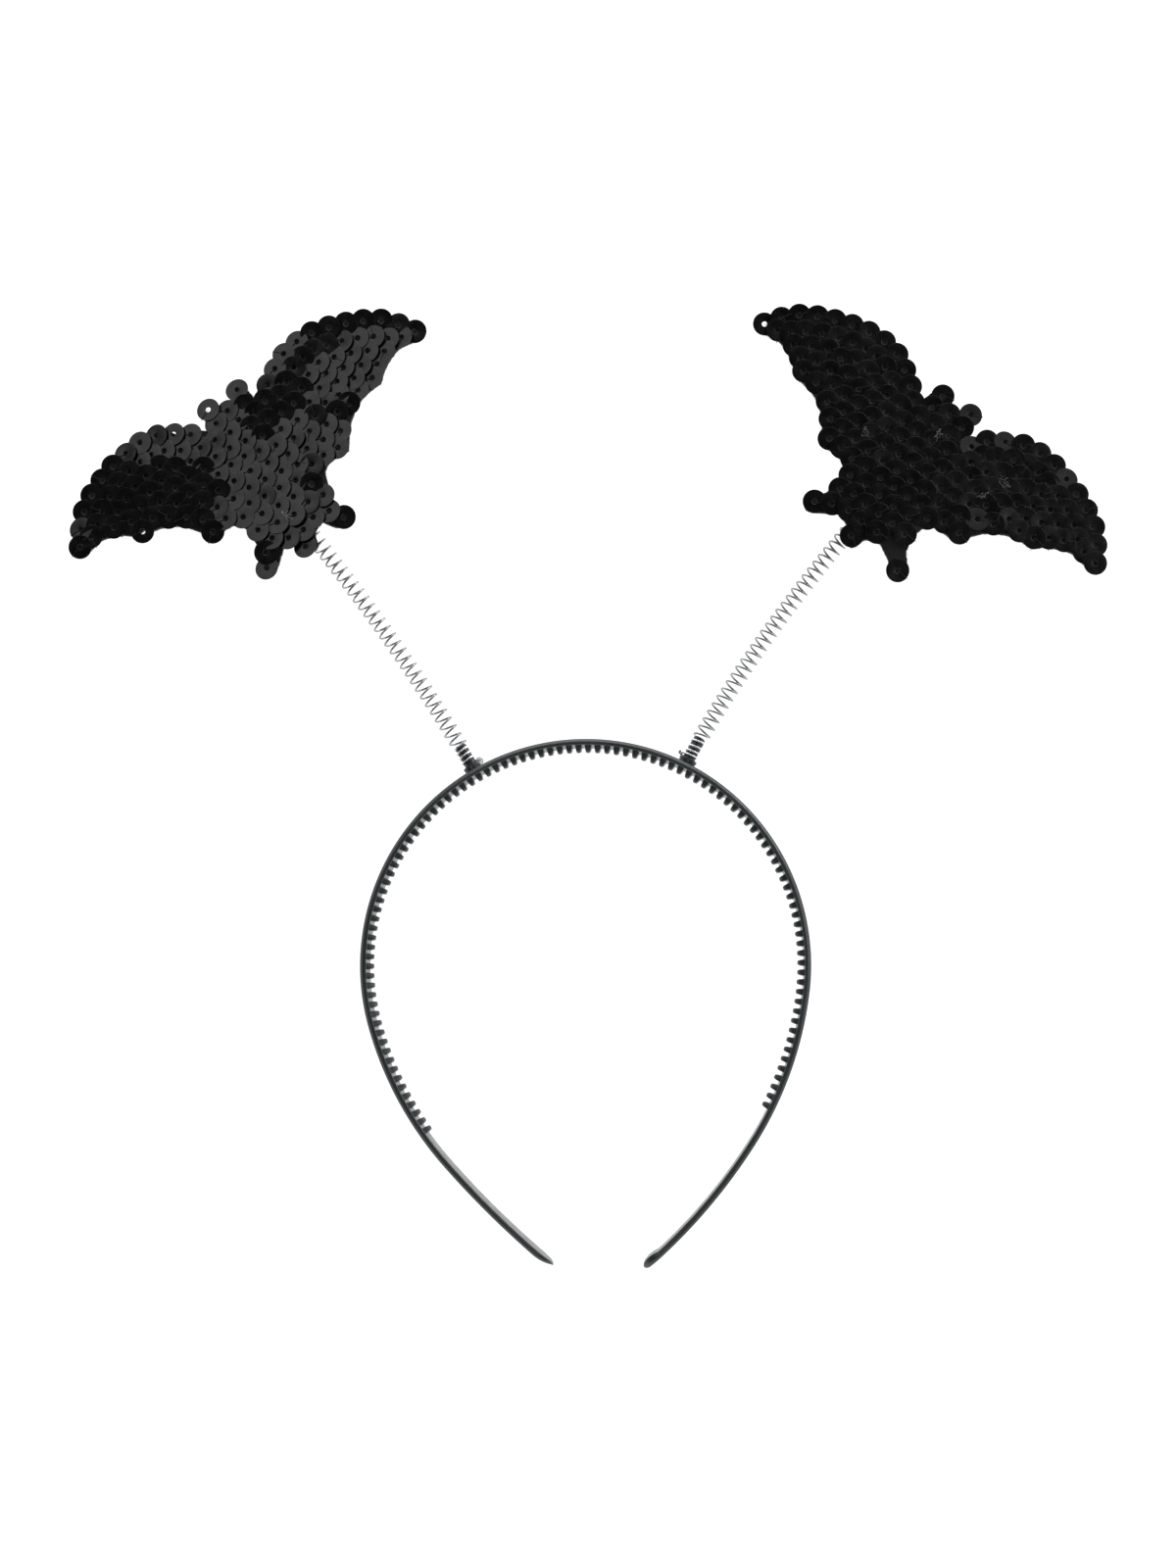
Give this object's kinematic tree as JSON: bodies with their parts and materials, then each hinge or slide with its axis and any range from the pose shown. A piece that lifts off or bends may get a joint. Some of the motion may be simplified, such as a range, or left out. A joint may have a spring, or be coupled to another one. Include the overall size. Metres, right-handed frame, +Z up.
{
  "type": "novelty headband",
  "caption": "Flexible comb-toothed hair band with sequinned felt bats on coil springs that bob above the wearer's head.",
  "frame": {"origin": "middle of the bounding box, on the surface the part lies on", "axes": "+Z up from that surface, +X across the band from the left bat to the right bat, +Y from the band's open end towards the bats"},
  "size_m": [0.268, 0.2462, 0.0092],
  "materials": {
    "plastic": "satin black moulding",
    "steel": "bright drawn wire",
    "felt": "matt black felt",
    "sequin": "glossy black"
  },
  "bodies": {
    "root": {"headband": "plastic", "spring_left": "steel", "spring_right": "steel", "bat_left_felt": "felt", "bat_left_sequins": "sequin", "bat_right_felt": "felt", "bat_right_sequins": "sequin"}
  },
  "joints": []
}
